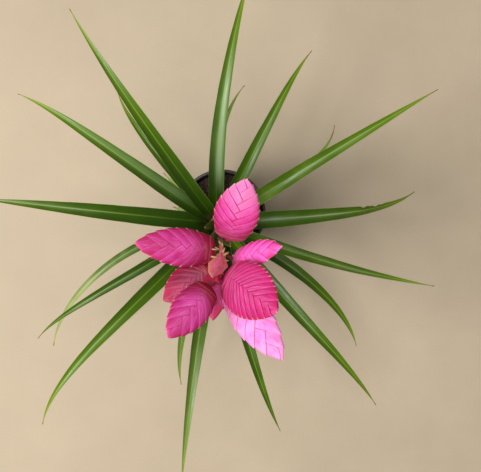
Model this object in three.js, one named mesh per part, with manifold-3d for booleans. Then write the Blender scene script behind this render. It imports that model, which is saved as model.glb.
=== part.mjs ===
// A potted tillandsia with several flat pink flower spikes, in millimetres, +Z up.
// The origin is the middle of the pot's underside. Headings are degrees from +X towards +Y.
import * as THREE from 'three';
import { mergeVertices } from 'three/addons/utils/BufferGeometryUtils.js';
import Module from 'manifold-3d';

const wasm = await Module();
wasm.setup();

// Pot: a thin plastic nursery pot
const POT = {
  rimRadius: 55, height: 95, baseRadius: 39, wall: 1.6, floor: 2.4,
  rimBand: 9, rimStep: 2.2, sides: 32,
  drainHoles: 8, drainRadius: 3.5, drainCircle: 28,
};

// Potting mix: fills the pot to just under its rim
const SOIL = { below: 12, gap: 0.3, sides: 24, rings: 4, relief: 2.2 };

// Crown: the short stem that carries the leaves, standing in a hole in the mix
const CROWN = {
  x: -4, y: -12, foot: 62, base: 82, top: 131.5, baseRadius: 21, topRadius: 7, footRadius: 12,
};
const GAP = 0.3;
const TIDY = 0.12;

// Leaves
const LEAF = {
  thickness: 0.9, edgeThickness: 0.6, channel: 0.2, sheathPitch: 80, sheathStart: 6, sheathEnd: 34,
  firstHeight: 125, heightStep: 1.75, widest: 0.27, taper: 1.5, sheathWrap: 1.45, tipWidth: 1.2,
  steps: 60,
};
const LEAF_RINGS = [0, 0.03, 0.06, 0.1, 0.15, 0.22, 0.31, 0.41, 0.51, 0.61, 0.71, 0.8, 0.88, 0.95, 1];
const LEAF_COLUMNS = [-1, -0.42, 0.42, 1];

// One row a leaf, from the youngest at the top of the crown to the oldest at its foot:
// heading, length, greatest width, pitch where the blade leaves the sheath, pitch at the tip,
// the turn to one side that the leaf makes by its tip, and how late it makes that turn.
const LEAVES = [
  { heading: 60, length: 120, width: 11, rise: 80, fall: 60, turn: 0, bow: 2 },
  { heading: -45, length: 135, width: 12, rise: 78, fall: 50, turn: 6, bow: 2 },
  { heading: -152, length: 150, width: 13, rise: 76, fall: 46, turn: -6, bow: 2 },
  { heading: 124, length: 313, width: 17, rise: 60, fall: -8, turn: -4, bow: 6 },
  { heading: -22, length: 282, width: 14, rise: 58, fall: -14, turn: 11, bow: 0.7 },
  { heading: -136, length: 332, width: 18, rise: 58, fall: -22, turn: 33, bow: 6 },
  { heading: 34, length: 315, width: 17, rise: 54, fall: -16, turn: -4, bow: 0.7 },
  { heading: 144, length: 290, width: 18, rise: 52, fall: -18, turn: 16, bow: 6 },
  { heading: -99, length: 324, width: 17, rise: 50, fall: -18, turn: 4, bow: 2 },
  { heading: 94, length: 310, width: 18, rise: 50, fall: -18, turn: -20, bow: 0.7 },
  { heading: -47, length: 305, width: 17, rise: 48, fall: -26, turn: -12, bow: 6 },
  { heading: 173, length: 289, width: 21, rise: 44, fall: -16, turn: 2, bow: 2 },
  { heading: 5, length: 248, width: 20, rise: 42, fall: -18, turn: 32, bow: 6 },
  { heading: -76, length: 287, width: 16, rise: 40, fall: -36, turn: 8, bow: 2 },
  { heading: 63, length: 246, width: 16, rise: 46, fall: -26, turn: -12, bow: 6 },
  { heading: -150, length: 280, width: 13, rise: 40, fall: -34, turn: 20, bow: 6 },
  { heading: 131, length: 210, width: 13, rise: 36, fall: -28, turn: -20, bow: 4 },
  { heading: -28, length: 254, width: 15, rise: 36, fall: -40, turn: -45, bow: 2 },
  { heading: -174, length: 302, width: 11, rise: 32, fall: -44, turn: 65, bow: 1 },
  { heading: 92, length: 180, width: 10, rise: 30, fall: -30, turn: -41, bow: 2 },
  { heading: 138, length: 92, width: 12, rise: 24, fall: -34, turn: 0, bow: 2 },
  { heading: 31, length: 200, width: 10, rise: 24, fall: -34, turn: 52, bow: 4 },
  { heading: -111, length: 235, width: 13, rise: 22, fall: -44, turn: 26, bow: 2 },
  { heading: 161, length: 56, width: 12, rise: 18, fall: -36, turn: 0, bow: 2 },
];

// Flower stalk: the points that it passes through, from the crown up to its nodding end
const STALK = {
  points: [[-4, -12, 131.8], [-3, -15, 190], [1, -20, 250], [5, -27, 300], [5, -42, 330], [2, -58, 348]],
  radius: 3.2, endRadius: 1.8, rings: 20, sides: 8,
};

// Bracts up the stalk: place as a share of its length, heading, length, width, lean, and how
// deep it is cupped as a share of its width. The broad ones near the top are arched ovals that
// also turn to one side, start narrow and have a blunter end.
const STALK_BRACTS = [
  { along: 0.08, heading: 165, length: 82, width: 12, lean: 7, cup: 0.24 },
  { along: 0.22, heading: -20, length: 76, width: 12, lean: 7, cup: 0.24 },
  { along: 0.45, heading: 95, length: 60, width: 12, lean: 2, cup: 0.24 },
  { along: 0.50, heading: -125, length: 52, width: 11, lean: 9, cup: 0.24 },
  { along: 0.56, heading: 152, length: 42, width: 11, lean: 15, cup: 0.24 },
  { along: 0.58, heading: -20, length: 41, width: 11, lean: 10, cup: 0.24 },
  {
    along: 0.84, heading: 84, length: 43, width: 19, lean: 3, cup: -0.14,
    turn: -10, footWidth: 0.45, blunt: 3,
  },
  {
    along: 0.87, heading: 95, length: 26, width: 15, lean: 3, cup: -0.14,
    turn: -18, footWidth: 0.6, blunt: 3,
  },
  {
    along: 0.93, heading: 102, length: 21, width: 18, lean: -5, cup: -0.14,
    turn: -42, footWidth: 0.7, blunt: 5,
  },
];
const BRACT_RINGS = [0, 0.12, 0.3, 0.52, 0.74, 0.9, 1];

// Flower spikes, the lowest on the stalk first. Each has a place on the stalk as a share of
// its length, the points where its bracts begin and end, its width, its count of bracts,
// its roll about its own length and how far its tip bends up.
const SPIKES = [
  { along: 0.70, base: [12, -22, 303], tip: [30, 37, 360], width: 41, bracts: 15, roll: 0, bend: 3 },
  { along: 0.74, base: [0, -31, 308], tip: [-75, -24, 336], width: 36, bracts: 14, roll: 15, bend: 4 },
  { along: 0.80, base: [16, -40, 316], tip: [62, -26, 359], width: 28, bracts: 11, roll: -40, bend: 3 },
  { along: 0.83, base: [-6, -47, 308], tip: [-50, -80, 316], width: 34, bracts: 14, roll: 10, bend: 2 },
  { along: 0.86, base: [2, -55, 321], tip: [-3, -96, 330], width: 22, bracts: 7, roll: 0, bend: 0 },
  { along: 0.90, base: [10, -51.5, 338], tip: [57, -79, 392], width: 48, bracts: 23, roll: 0, bend: 4 },
  { along: 0.94, base: [13, -66, 329], tip: [62, -127, 356], width: 36, bracts: 12, roll: 0, bend: 3 },
  { along: 1, base: [-4, -61, 351], tip: [-40, -102, 385], width: 33, bracts: 13, roll: 0, bend: 3 },
];
const SPIKE = {
  blunt: 0.14, fullness: 0.72, firstTip: 0.15, lastTip: 0.985, crowding: 0.9, reachBack: 16,
  lowSlant: 0.2, highSlant: 1.6, cross: 1.2, dive: 0.4, wrap: 0.85, ahead: 1.4, proud: 1.3,
  bulge: 0.02, budBulge: 0.14, edge: 0.7, crest: 3, endCrest: 1.5, slope: 0.12,
  neckRadius: 1.5, neckSides: 6,
};

function radians(degrees) {
  return THREE.MathUtils.degToRad(degrees);
}

function clamp01(value) {
  return Math.min(1, Math.max(0, value));
}

function smooth(value) {
  const t = clamp01(value);
  return t * t * (3 - 2 * t);
}

function mix(a, b, t) {
  return a + (b - a) * t;
}

// Closed meshes to solids and back
function solidFrom(geometry) {
  const bare = geometry.clone();
  bare.deleteAttribute('normal');
  bare.deleteAttribute('uv');
  const merged = mergeVertices(bare, 1e-4);
  return new wasm.Manifold(new wasm.Mesh({
    numProp: 3,
    vertProperties: Float32Array.from(merged.attributes.position.array),
    triVerts: Uint32Array.from(merged.index.array),
  }));
}

function geometryFrom(solid) {
  const mesh = solid.getMesh();
  const geometry = new THREE.BufferGeometry();
  geometry.setAttribute('position', new THREE.BufferAttribute(mesh.vertProperties, 3));
  geometry.setIndex(new THREE.BufferAttribute(mesh.triVerts, 1));
  return geometry;
}

function union(geometries) {
  return geometries.map(solidFrom).reduce((whole, next) => whole.add(next));
}

// A closed skin over a row of rings with equal numbers of points, each ring given clockwise
// as seen from its own start of the row. Columns past the middle split along the other
// diagonal, so that the two faces of a thin blade have the same creases.
function loft(rings) {
  const count = rings[0].length;
  const positions = rings.flat().flatMap((p) => [p.x, p.y, p.z]);
  const index = [];
  for (let i = 0; i + 1 < rings.length; i += 1) {
    for (let j = 0; j < count; j += 1) {
      const next = (j + 1) % count;
      const a = i * count + j;
      const b = i * count + next;
      const c = (i + 1) * count + next;
      const d = (i + 1) * count + j;
      if (j < count / 2) {
        index.push(a, d, c, a, c, b);
      } else {
        index.push(a, d, b, d, c, b);
      }
    }
  }
  const last = (rings.length - 1) * count;
  for (let j = 0; j + 1 < count / 2; j += 1) {
    const far = count - 1 - j;
    index.push(j, j + 1, far - 1, j, far - 1, far);
    index.push(last + j, last + far - 1, last + j + 1, last + j, last + far, last + far - 1);
  }
  const geometry = new THREE.BufferGeometry();
  geometry.setAttribute('position', new THREE.Float32BufferAttribute(positions, 3));
  geometry.setIndex(index);
  return geometry;
}

// The pot: one turned shell with a stepped rim band, and drain holes through its floor
function potRadiusAt(height) {
  const wallTop = POT.rimRadius - POT.rimStep;
  return mix(POT.baseRadius, wallTop, height / POT.height);
}

function potGeometry() {
  const { rimRadius, height, wall, floor, rimBand, rimStep } = POT;
  const bandFoot = height - rimBand;
  const profile = [
    [0, 0], [POT.baseRadius - 1.5, 0], [POT.baseRadius, 1.5],
    [potRadiusAt(bandFoot), bandFoot], [rimRadius - 0.6, bandFoot + 0.6],
    [rimRadius, height - 1], [rimRadius - 0.8, height],
    [rimRadius - rimStep - wall + 1.2, height], [rimRadius - rimStep - wall, height - 1],
    [potRadiusAt(floor) - wall, floor], [0, floor],
  ].map(([r, z]) => new THREE.Vector2(r, z));
  const turned = new THREE.LatheGeometry(profile, POT.sides).rotateX(Math.PI / 2);
  let solid = solidFrom(turned);
  for (let i = 0; i < POT.drainHoles; i += 1) {
    const turn = (i + 0.5) * 2 * Math.PI / POT.drainHoles;
    const drill = new THREE.CylinderGeometry(POT.drainRadius, POT.drainRadius, 4 * floor, 8);
    drill.rotateX(Math.PI / 2);
    drill.translate(POT.drainCircle * Math.cos(turn), POT.drainCircle * Math.sin(turn), 0);
    solid = solid.subtract(solidFrom(drill));
  }
  return geometryFrom(solid);
}

// The potting mix: a plug with a lumpy top and a plain hole for the crown's foot
function soilRelief(x, y) {
  const broad = Math.sin(0.31 * x + 0.8) * Math.cos(0.27 * y - 0.4);
  const fine = 0.6 * Math.sin(0.53 * y + 0.21 * x);
  return SOIL.relief * 0.5 * (broad + fine);
}

function soilGeometry() {
  const top = POT.height - SOIL.below;
  const inside = (z) => potRadiusAt(z) - POT.wall - SOIL.gap - 0.25;
  const foot = POT.floor + SOIL.gap;
  const profile = [[0, foot], [inside(POT.floor) - 0.5, foot], [inside(top), top - 1]];
  for (let ring = SOIL.rings - 1; ring >= 0; ring -= 1) {
    profile.push([inside(top) * ring / SOIL.rings, top]);
  }
  const points = profile.map(([r, z]) => new THREE.Vector2(r, z));
  const plug = new THREE.LatheGeometry(points, SOIL.sides).rotateX(Math.PI / 2);
  const position = plug.attributes.position;
  for (let i = 0; i < position.count; i += 1) {
    if (position.getZ(i) > top - 0.5) {
      position.setZ(i, top + soilRelief(position.getX(i), position.getY(i)));
    }
  }
  const hole = crownProfileGeometry(GAP);
  hole.translate(CROWN.x, CROWN.y, 0);
  return geometryFrom(solidFrom(plug).subtract(solidFrom(hole)));
}

// The crown: a cone of old leaf bases over a narrower foot
function crownRadiusAt(z) {
  const share = clamp01((z - CROWN.base) / (CROWN.top - CROWN.base));
  return mix(CROWN.baseRadius, CROWN.topRadius, share);
}

function crownProfileGeometry(grow) {
  const profile = [
    [0, CROWN.foot - grow], [CROWN.footRadius + grow, CROWN.foot - grow],
    [CROWN.baseRadius + grow, CROWN.base - 4], [CROWN.baseRadius + grow, CROWN.base],
    [CROWN.topRadius + grow, CROWN.top + grow], [0, CROWN.top + grow],
  ].map(([r, z]) => new THREE.Vector2(r, z));
  return new THREE.LatheGeometry(profile, 24).rotateX(Math.PI / 2);
}

// A leaf's centre line starts on the crown's skin and leaves it steeply, as a sheath, then
// the blade arches over, evenly from its rise to its fall, and turns to one side.
function leafLine(leaf, start) {
  const points = [];
  const step = leaf.length / LEAF.steps;
  const at = start.clone();
  for (let i = 0; i <= LEAF.steps; i += 1) {
    const share = i / LEAF.steps;
    const blade = mix(leaf.rise, leaf.fall, share);
    const free = smooth((share * leaf.length - LEAF.sheathStart) / (LEAF.sheathEnd - LEAF.sheathStart));
    const pitch = radians(mix(LEAF.sheathPitch, blade, free));
    const yaw = radians(leaf.turn * share ** leaf.bow);
    const along = new THREE.Vector3(
      Math.cos(pitch) * Math.cos(yaw), Math.cos(pitch) * Math.sin(yaw), Math.sin(pitch));
    const side = new THREE.Vector3(-Math.sin(yaw), Math.cos(yaw), 0);
    const up = new THREE.Vector3().crossVectors(along, side);
    points.push({ share, at: at.clone(), along, side, up });
    at.addScaledVector(along, step);
  }
  return points;
}

function leafWidth(leaf, share, sheathWidth) {
  const past = clamp01((share - LEAF.widest) / (1 - LEAF.widest));
  const blade = leaf.width * (1 - past ** LEAF.taper);
  const free = smooth(share * leaf.length / LEAF.sheathEnd);
  return Math.max(mix(sheathWidth, blade, free), LEAF.tipWidth);
}

// One ring of a channelled blade: its upper face from side to side, then its lower face back
function bladeRing(point, width, depth) {
  const face = (column, lift) => {
    const thickness = Math.abs(column) < 1 ? LEAF.thickness : LEAF.edgeThickness;
    return point.at.clone()
      .addScaledVector(point.side, 0.5 * width * column)
      .addScaledVector(point.up, depth * column * column + lift * thickness);
  };
  return [
    ...LEAF_COLUMNS.map((column) => face(column, 0.5)),
    ...[...LEAF_COLUMNS].reverse().map((column) => face(column, -0.5)),
  ];
}

function leafGeometry(leaf, rank) {
  const height = LEAF.firstHeight - rank * LEAF.heightStep;
  const radius = crownRadiusAt(height);
  const sheathWidth = Math.min(1.3 * leaf.width, LEAF.sheathWrap * radius);
  const wrap = sheathWidth * sheathWidth / (8 * radius);
  const stand = GAP + 0.5 * LEAF.thickness + LEAF_COLUMNS[2] ** 2 * wrap;
  const line = leafLine(leaf, new THREE.Vector3(radius + stand, 0, height));
  return loft(LEAF_RINGS.map((share) => {
    const point = line[Math.round(share * LEAF.steps)];
    const width = leafWidth(leaf, share, sheathWidth);
    const reach = Math.hypot(point.at.x, point.at.y);
    const wrapDepth = width * width / (8 * reach);
    const open = smooth(share * leaf.length / LEAF.sheathEnd - 0.4);
    return bladeRing(point, width, mix(wrapDepth, LEAF.channel * width, open));
  }));
}

// The stalk: a thin tapering stem with its bracts fused to it
const stalkPoints = STALK.points.map((p) => new THREE.Vector3(...p));
const stalkCurve = new THREE.CatmullRomCurve3(stalkPoints, false, 'centripetal');

function stalkFrame(along) {
  const at = stalkCurve.getPointAt(clamp01(along));
  const ahead = stalkCurve.getTangentAt(clamp01(along));
  const side = new THREE.Vector3(1, 0, 0).addScaledVector(ahead, -ahead.x).normalize();
  const up = new THREE.Vector3().crossVectors(ahead, side);
  return { at, ahead, side, up, radius: mix(STALK.radius, STALK.endRadius, along) };
}

function tube(frames, sides) {
  return loft(frames.map(({ at, side, up, radius }) => Array.from({ length: sides }, (_, j) => {
    const turn = Math.PI - (j + 0.5) * 2 * Math.PI / sides;
    return at.clone()
      .addScaledVector(side, radius * Math.cos(turn))
      .addScaledVector(up, radius * Math.sin(turn));
  })));
}

function stalkBractGeometry(bract) {
  const { turn = 0, footWidth = 0.75, blunt = 2 } = bract;
  const foot = stalkFrame(bract.along);
  const heading = radians(bract.heading);
  const outward = new THREE.Vector3(Math.cos(heading), Math.sin(heading), 0);
  outward.addScaledVector(foot.ahead, -outward.dot(foot.ahead)).normalize();
  const ahead = foot.ahead.clone().applyAxisAngle(outward, radians(turn));
  const side = new THREE.Vector3().crossVectors(ahead, outward).negate();
  const start = foot.at.clone().addScaledVector(outward, 0.8 * foot.radius);
  return loft(BRACT_RINGS.map((share) => {
    const lean = radians(bract.lean * Math.min(1, 3 * share));
    const along = ahead.clone().multiplyScalar(Math.cos(lean)).addScaledVector(outward, Math.sin(lean));
    const up = new THREE.Vector3().crossVectors(along, side);
    const at = start.clone().addScaledVector(along, share * bract.length);
    const full = mix(footWidth, 1, smooth(2.5 * share)) * (1 - share ** blunt);
    const width = Math.max(bract.width * full, LEAF.tipWidth);
    return bladeRing({ at, side, up }, width, bract.cup * width);
  }));
}

function stalkGeometry() {
  const frames = Array.from({ length: STALK.rings + 1 }, (_, i) => stalkFrame(i / STALK.rings));
  const whole = union([tube(frames, STALK.sides), ...STALK_BRACTS.map(stalkBractGeometry)]);
  return geometryFrom(whole.simplify(TIDY));
}

// A spike lies in its own frame: bracts begin at the origin and run along +X, its flat faces
// look along +Z and -Z. Folded bracts alternate left and right, thin at the fold on the
// spike's rim and proud at the free edge that crosses the middle, each over the next one up.
function spikeHalfWidth(spike, length, x) {
  const share = mix(SPIKE.blunt, 1, clamp01(x / length));
  return 0.5 * spike.width * Math.sin(Math.PI * share) ** SPIKE.fullness;
}

// The lowest bract is a sheath round the spike's foot and the last one is its bud: both reach
// from rim to rim. Between them each free edge starts under the bract before, past the middle,
// and crosses the middle ever more steeply, at a slant given as run along the spike for each
// millimetre across it. Its hidden inner corner dives a little.
function spikeBractGeometry(spike, length, k) {
  const last = spike.bracts - 1;
  const share = k / last;
  const hand = k % 2 === 0 ? 1 : -1;
  const tipX = length * mix(SPIKE.firstTip, SPIKE.lastTip, share ** SPIKE.crowding);
  const tipY = spikeHalfWidth(spike, length, tipX) * (k === last ? 0.3 : 1);
  const slant = mix(SPIKE.lowSlant, SPIKE.highSlant, share ** 0.8);
  const crossingX = tipX - slant * tipY;
  const whole = k === 0 || k === last;
  const widest = SPIKE.wrap * spikeHalfWidth(spike, length, crossingX);
  const cross = whole ? widest : Math.min(SPIKE.cross + 0.4 * length / last / slant, widest);
  const innerX = crossingX - (whole ? 0 : slant * cross);
  const startX = Math.max(0.4 * k, innerX - SPIKE.reachBack);
  const inner = new THREE.Vector2(innerX, -cross);
  const tip = new THREE.Vector2(tipX + SPIKE.ahead, tipY + SPIKE.proud * Math.min(1, tipY / 6));
  const edge = tip.clone().sub(inner);
  const normal = new THREE.Vector2(edge.y, -edge.x).normalize();
  const swell = (k === last ? SPIKE.budBulge : SPIKE.bulge) * edge.length();
  const bulge = inner.clone().addScaledVector(edge, 0.5).addScaledVector(normal, swell);
  const rimAt = (t, end) => {
    const x = mix(startX, end, t);
    return new THREE.Vector2(x, spikeHalfWidth(spike, length, x));
  };
  const foot = Math.min(2, cross);
  const over = new THREE.Vector2(1, k === last ? -1 : -SPIKE.wrap);
  const farRim = (whole ? [0.8, 0.4] : []).map((t) => rimAt(t, innerX).multiply(over));
  const start = new THREE.Vector2(startX, -foot);
  const corner = new THREE.Vector2(startX, 2);
  const outline = [inner, ...farRim, start, corner, rimAt(0.35, tipX), rimAt(0.75, tipX), tip, bulge];
  const crest = mix(SPIKE.crest, SPIKE.endCrest, share) * Math.min(1, spike.width / 36);
  const half = (p) => {
    const under = p === inner && !whole ? SPIKE.dive : 0;
    const behind = Math.min(0, p.clone().sub(inner).dot(normal));
    return Math.max(SPIKE.edge, crest - under + SPIKE.slope * behind);
  };
  const positions = [];
  for (const lift of [1, -1]) {
    for (const p of outline) {
      positions.push(p.x, hand * p.y, lift * half(p));
    }
  }
  const n = outline.length;
  const index = [];
  const face = (a, b, c) => (hand > 0 ? index.push(a, c, b) : index.push(a, b, c));
  for (let i = 1; i + 1 < n; i += 1) {
    face(0, i, i + 1);
    face(n, n + i + 1, n + i);
  }
  for (let i = 0; i < n; i += 1) {
    const j = (i + 1) % n;
    face(i, n + j, j);
    face(i, n + i, n + j);
  }
  const geometry = new THREE.BufferGeometry();
  geometry.setAttribute('position', new THREE.Float32BufferAttribute(positions, 3));
  geometry.setIndex(index);
  return geometry;
}

function spikePlacement(spike) {
  const base = new THREE.Vector3(...spike.base);
  const along = new THREE.Vector3(...spike.tip).sub(base);
  const length = along.length();
  along.divideScalar(length);
  const up = new THREE.Vector3(0, 0, 1).addScaledVector(along, -along.z).normalize();
  up.applyAxisAngle(along, radians(spike.roll));
  const side = new THREE.Vector3().crossVectors(up, along);
  const matrix = new THREE.Matrix4().makeBasis(along, side, up).setPosition(base);
  return { matrix, length };
}

// The spike's short neck runs from just clear of the stalk into its lowest bracts
function neckGeometry(spike, matrix) {
  const foot = stalkFrame(spike.along);
  const run = new THREE.Vector3(...spike.base).sub(foot.at);
  const reach = run.length();
  run.divideScalar(reach);
  const cosine = Math.abs(run.dot(foot.ahead));
  const sine = Math.sqrt(1 - cosine * cosine);
  const beside = (foot.radius + GAP + SPIKE.neckRadius * cosine) / sine;
  const clear = spike.along < 1 ? beside : GAP + foot.radius * sine;
  const side = new THREE.Vector3(0, 0, 1).cross(run).normalize();
  const up = new THREE.Vector3().crossVectors(run, side);
  const frameAt = (distance) => (
    { at: foot.at.clone().addScaledVector(run, distance), side, up, radius: SPIKE.neckRadius });
  const geometry = tube([frameAt(clear), frameAt(reach + 4)], SPIKE.neckSides);
  return geometry.applyMatrix4(matrix.clone().invert());
}

function spikeGeometry(spike, length, matrix) {
  const bracts = Array.from({ length: spike.bracts }, (_, k) => spikeBractGeometry(spike, length, k));
  const whole = union([neckGeometry(spike, matrix), ...bracts]);
  const bent = whole.simplify(TIDY).warp((p) => {
    p[2] += spike.bend * Math.max(0, p[0] / length) ** 2;
  });
  return geometryFrom(bent);
}

// Materials
function material(color, roughness, metalness = 0) {
  return new THREE.MeshStandardMaterial({ color, roughness, metalness });
}

const MATERIALS = {
  pot: material(0x241c1b, 0.45),
  soil: material(0x3a2a20, 0.95),
  crown: material(0x4d4a26, 0.7),
  leaf: material(0x2f6a1e, 0.38),
  stalk: material(0x8f8a3c, 0.5),
  spike: material(0xe0408e, 0.45),
};

const plant = new THREE.Group();

function addPart(name, geometry, look, parent = plant) {
  const mesh = new THREE.Mesh(geometry, look);
  mesh.name = name;
  parent.add(mesh);
  return mesh;
}

addPart('pot', potGeometry(), MATERIALS.pot);
addPart('potting_mix', soilGeometry(), MATERIALS.soil);

const rosette = new THREE.Group();
rosette.position.set(CROWN.x, CROWN.y, 0);
plant.add(rosette);
addPart('crown', crownProfileGeometry(0), MATERIALS.crown, rosette);
LEAVES.forEach((leaf, rank) => {
  const name = `leaf_${String(rank + 1).padStart(2, '0')}`;
  const mesh = addPart(name, leafGeometry(leaf, rank), MATERIALS.leaf, rosette);
  mesh.rotation.z = radians(leaf.heading);
});

addPart('flower_stalk', stalkGeometry(), MATERIALS.stalk);
SPIKES.forEach((spike, i) => {
  const { matrix, length } = spikePlacement(spike);
  const mesh = addPart(`flower_spike_${i + 1}`, spikeGeometry(spike, length, matrix), MATERIALS.spike);
  mesh.applyMatrix4(matrix);
});

export default plant;
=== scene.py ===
# A potted tillandsia in flower, seen from straight above: the finished surfaces.
import math
import random
from collections import namedtuple

import bpy
import numpy as np
from mathutils import Euler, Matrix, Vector, noise


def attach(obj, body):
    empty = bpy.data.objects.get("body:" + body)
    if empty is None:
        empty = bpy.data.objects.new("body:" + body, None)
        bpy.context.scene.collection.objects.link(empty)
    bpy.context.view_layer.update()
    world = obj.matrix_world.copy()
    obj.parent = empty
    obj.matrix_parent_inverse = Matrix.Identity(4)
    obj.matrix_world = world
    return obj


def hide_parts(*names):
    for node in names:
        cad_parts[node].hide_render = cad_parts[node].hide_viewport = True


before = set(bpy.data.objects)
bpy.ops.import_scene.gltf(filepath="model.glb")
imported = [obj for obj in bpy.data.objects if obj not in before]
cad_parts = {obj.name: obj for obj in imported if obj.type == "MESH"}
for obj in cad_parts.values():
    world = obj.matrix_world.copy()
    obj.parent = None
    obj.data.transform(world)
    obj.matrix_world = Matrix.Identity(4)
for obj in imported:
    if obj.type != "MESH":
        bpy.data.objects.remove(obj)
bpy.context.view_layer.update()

# Every length below is in millimetres, as in the part's source. MM turns them into metres.
MM = 0.001
# Edges that turn by more than this, in radians, are shaded sharp.
SHARP_ANGLE = math.radians(50)

# Turned pieces end in a ring of this radius on their axis.
POLE_RADIUS, MIX_POLE_RADIUS = 0.4, 0.3

# Pot and potting mix
RIM_RADIUS, POT_HEIGHT, POT_BASE_RADIUS = 55, 95, 39
POT_WALL, POT_FLOOR, RIM_BAND, RIM_STEP = 1.6, 2.4, 9, 2.2
POT_SIDES, POT_FOOT_ROUND = 160, 1.5
# Heights of the moulded grooves round the wall, and how deep they and the rim's groove are
WALL_GROOVES, WALL_GROOVE_DEPTH, RIM_GROOVE_DEPTH = (30, 56), 0.25, 0.35
DRAIN_HOLES, DRAIN_RADIUS, DRAIN_CIRCLE, DRILL_REACH, DRILL_SIDES = 8, 3.5, 28, 5, 32
# Of the mix: how far it lies below the rim and off the wall, how much smaller it is than the
# part's, and how high its lumps are. Then how fine, high and low its crumbs are on the lumps.
MIX_BELOW, MIX_GAP, MIX_SHRINK, MIX_RELIEF = 12, 0.3, 0.25, 2.2
MIX_SIDES, MIX_RINGS, MIX_ROUND = 120, 34, 1.5
CRUMB_PITCH, CRUMB_RISE, CRUMB_DROP = 0.35, 1.1, 0.3
# Bark chips: their number, the least and greatest of each of their sizes, the ring radii and
# heights that all of them start from, and how far each point strays from there
CHIPS, CHIP_SEED, CHIP_SIDES, CHIP_CLEAR = 520, 5, 8, 3.5
CHIP_SIZES = [(2.2, 6.5), (1.6, 3.6), (0.7, 1.8)]
CHIP_RINGS = [(0.55, -1), (1.0, -0.4), (1.0, 0.35), (0.6, 1)]
CHIP_ROUGH = (0.75, 1.15)

# Crown, and the gap between it and what stands round it
CROWN_AT, CROWN_FOOT, CROWN_NECK, CROWN_BASE, CROWN_TOP = (-4, -12), 62, 78, 82, 131.5
CROWN_BASE_RADIUS, CROWN_TOP_RADIUS, CROWN_FOOT_RADIUS = 21, 7, 12
CROWN_SIDES, CROWN_ROWS = 96, 110
# Old leaf bases: how far up each goes, how many start side by side, and how far they stand out
BASE_PITCH, BASE_STARTS, BASE_STEP, BASE_SWAY = 5.5, 5, 0.9, 0.4
GAP = 0.3

# Leaves
LEAF_THICKNESS, LEAF_EDGE, CHANNEL, TIP_WIDTH = 0.9, 0.45, 0.2, 0.9
SHEATH_PITCH, SHEATH_START, SHEATH_END, SHEATH_WRAP = 80, 6, 34, 1.45
FIRST_HEIGHT, HEIGHT_STEP, WIDEST, TAPER = 125, 1.75, 0.27, 1.5
SHEATH_FLARE, SHEATH_COLUMN, CHANNEL_FROM = 1.3, 0.42, 0.4
LEAF_STEPS, LEAF_ROWS, LEAF_COLUMNS = 60, 121, 17
# Past its foot a leaf rolls a little from side to side, by this many radians, and its edges
# wander by this share of its width.
LOOSE_FROM, LOOSE_OVER = 0.15, 0.3
LEAF_ROLL, ROLL_WAVES, EDGE_WANDER, EDGE_WAVES = 0.12, 3, 0.025, 14
# Seeds of the wandering lines of left and right edges, to which a piece adds its number
LEAF_SEEDS, BRACT_SEEDS = (10, 50), (20, 40)

# One row a leaf, from the youngest to the oldest. The first seven values are the part's own:
# heading, length, width, rise, fall, turn and bow. The rest are looks: how light the leaf is
# from -1 to 1, the share of it that has dried at the tip, how far its end has faded, and how
# much painted sheen, a pale grey-green highlight, lies along its channel.
Leaf = namedtuple("Leaf", "heading length width rise fall turn bow tone dry fade bloom", defaults=(0,))
LEAVES = [
    Leaf(60, 120, 11, 80, 60, 0, 2, 0.2, 0.02, 0),
    Leaf(-45, 135, 12, 78, 50, 6, 2, 0.2, 0.02, 0),
    Leaf(-152, 150, 13, 76, 46, -6, 2, 0.2, 0.02, 0),
    Leaf(124, 313, 17, 60, -8, -4, 6, 0.0, 0.01, 0),
    Leaf(-22, 282, 14, 58, -14, 11, 0.7, 0.3, 0.01, 0),
    Leaf(-136, 332, 18, 58, -22, 33, 6, 0.1, 0.01, 0),
    Leaf(34, 315, 17, 54, -16, -4, 0.7, 0.3, 0.035, 0),
    Leaf(144, 290, 18, 52, -18, 16, 6, 0.1, 0.01, 0, 0.15),
    Leaf(-99, 324, 17, 50, -18, 4, 2, -0.1, 0.01, 0.15),
    Leaf(94, 310, 18, 50, -18, -20, 0.7, 0.1, 0.01, 0, 0.4),
    Leaf(-47, 305, 17, 48, -26, -12, 6, -0.3, 0.02, 0),
    Leaf(173, 289, 21, 44, -16, 2, 2, -0.6, 0.01, 0),
    Leaf(5, 248, 20, 42, -18, 32, 6, -0.3, 0.03, 0),
    Leaf(-76, 287, 16, 40, -36, 8, 2, -0.5, 0.01, 0),
    Leaf(63, 246, 16, 46, -26, -12, 6, 0.0, 0.05, 0),
    Leaf(-150, 280, 13, 40, -34, 20, 6, -0.6, 0.05, 0),
    Leaf(131, 210, 13, 36, -28, -20, 4, 0.0, 0.01, 0),
    Leaf(-28, 254, 15, 36, -40, -45, 2, 0.0, 0.01, 0),
    Leaf(-174, 302, 11, 32, -44, 65, 1, 0.2, 0.03, 0.7),
    Leaf(92, 180, 10, 30, -30, -41, 2, 0.1, 0.02, 0.2),
    Leaf(138, 92, 12, 24, -34, 0, 2, 0.6, 0.06, 0.5),
    Leaf(31, 200, 10, 24, -34, 52, 4, 0.1, 0.1, 0.2),
    Leaf(-111, 235, 13, 22, -44, 26, 2, 0.2, 0.03, 0.2),
    Leaf(161, 56, 12, 18, -36, 0, 2, 0.7, 0.08, 0.6),
]
# Bites out of the left edge of one leaf: its number, then place, depth and spread of each
BITTEN_LEAF = 13
BITES = [(0.735, 0.45, 0.010), (0.765, 0.25, 0.008), (0.79, 0.55, 0.012), (0.82, 0.3, 0.010)]

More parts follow.
